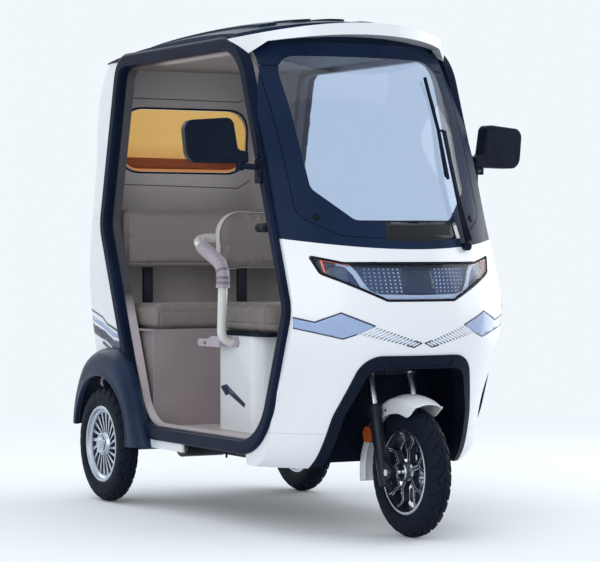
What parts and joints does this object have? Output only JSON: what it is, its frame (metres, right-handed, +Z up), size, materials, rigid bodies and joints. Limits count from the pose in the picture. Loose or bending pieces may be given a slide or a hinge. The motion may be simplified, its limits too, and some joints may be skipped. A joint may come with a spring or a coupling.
{
  "type": "three-wheeled cabin moped",
  "caption": "Roofed electric cabin moped with open doorways, a driver's seat, a passenger bench, one steered front wheel and a pair of rear wheels.",
  "frame": {"origin": "on the ground under the middle of the overall length, on the middle plane", "axes": "+X forward, +Y to the vehicle's left, +Z up"},
  "size_m": [2.0328, 1.3144, 1.7476],
  "materials": {
    "body_white": "gloss",
    "roof_navy": "gloss",
    "frame_black": "satin",
    "trim_black": "matt",
    "lining_grey": "matt",
    "lining_pale": "satin",
    "glass_clear": "gloss",
    "glass_amber": "gloss",
    "lamp_clear": "gloss",
    "lamp_red": "gloss",
    "lamp_amber": "gloss",
    "seat_leather": "soft",
    "tube_cream": "gloss",
    "grip_grey": "matt",
    "frame_metal": "satin",
    "steel_bright": "polished",
    "alloy": "machined",
    "alloy_black": "satin",
    "tyre": "matt"
  },
  "bodies": {
    "root": {"front_fascia": "body_white", "front_lower_covers": "body_white", "arch_trim": "trim_black", "headlamp_lens": "lamp_clear", "headlamp_housing": "trim_black", "windscreen_frame": "roof_navy", "windscreen_glass": "glass_clear", "door_frame_right": "frame_black", "door_frame_left": "frame_black", "door_lining_right": "lining_pale", "door_lining_left": "lining_pale", "rear_body": "body_white", "rear_window": "glass_amber", "tail_lamps": "lamp_red", "rear_bumper": "trim_black", "rear_lining": "lining_grey", "rear_wheel_housings": "trim_black", "fender_right": "trim_black", "fender_left": "trim_black", "roof": "roof_navy", "ceiling": "lining_grey", "visor": "body_white", "chassis": "frame_metal", "floor": "lining_grey", "wheel_tunnel": "trim_black", "battery_box": "frame_metal", "rear_axle": "frame_metal", "leaf_springs": "frame_metal", "bench_base": "lining_grey", "bench_cushion": "seat_leather", "bench_backrest": "seat_leather", "bench_back_posts": "frame_metal", "seat_box": "body_white", "seat_pan": "trim_black", "seat_cushion": "seat_leather", "seat_backrest": "seat_leather", "handrail": "tube_cream", "handrail_grips": "grip_grey", "handrail_brackets": "grip_grey", "dashboard": "trim_black", "mirror_right": "trim_black", "mirror_left": "trim_black", "wiper": "trim_black"},
    "steering": {"fork": "steel_bright", "fork_sliders": "frame_metal", "front_axle": "steel_bright", "front_mudguard": "body_white", "reflector_stays": "frame_metal", "handlebar": "frame_metal", "brake_caliper": "alloy", "handlebar_grips": "trim_black", "fork_reflectors": "lamp_amber"},
    "front_wheel": {"front_tyre": "tyre", "front_rim": "alloy_black", "brake_disc": "steel_bright"},
    "rear_wheel_right": {"rear_tyre_right": "tyre", "rear_rim_right": "alloy"},
    "rear_wheel_left": {"rear_tyre_left": "tyre", "rear_rim_left": "alloy"}
  },
  "joints": [
    {"name": "steering", "type": "hinge", "parent": "root", "child": "steering", "pos_m": [0.758, 0, 0.215], "axis": [-0.284, 0, 0.9588], "range_deg": [-35, 35]},
    {"name": "front_wheel_spin", "type": "hinge", "parent": "steering", "child": "front_wheel", "pos_m": [0.805, 0, 0.215], "axis": [0, 1, 0], "continuous": true},
    {"name": "rear_right_wheel_spin", "type": "hinge", "parent": "root", "child": "rear_wheel_right", "pos_m": [-0.719, -0.411, 0.215], "axis": [0, 1, 0], "continuous": true},
    {"name": "rear_left_wheel_spin", "type": "hinge", "parent": "root", "child": "rear_wheel_left", "pos_m": [-0.719, 0.411, 0.215], "axis": [0, 1, 0], "continuous": true}
  ]
}
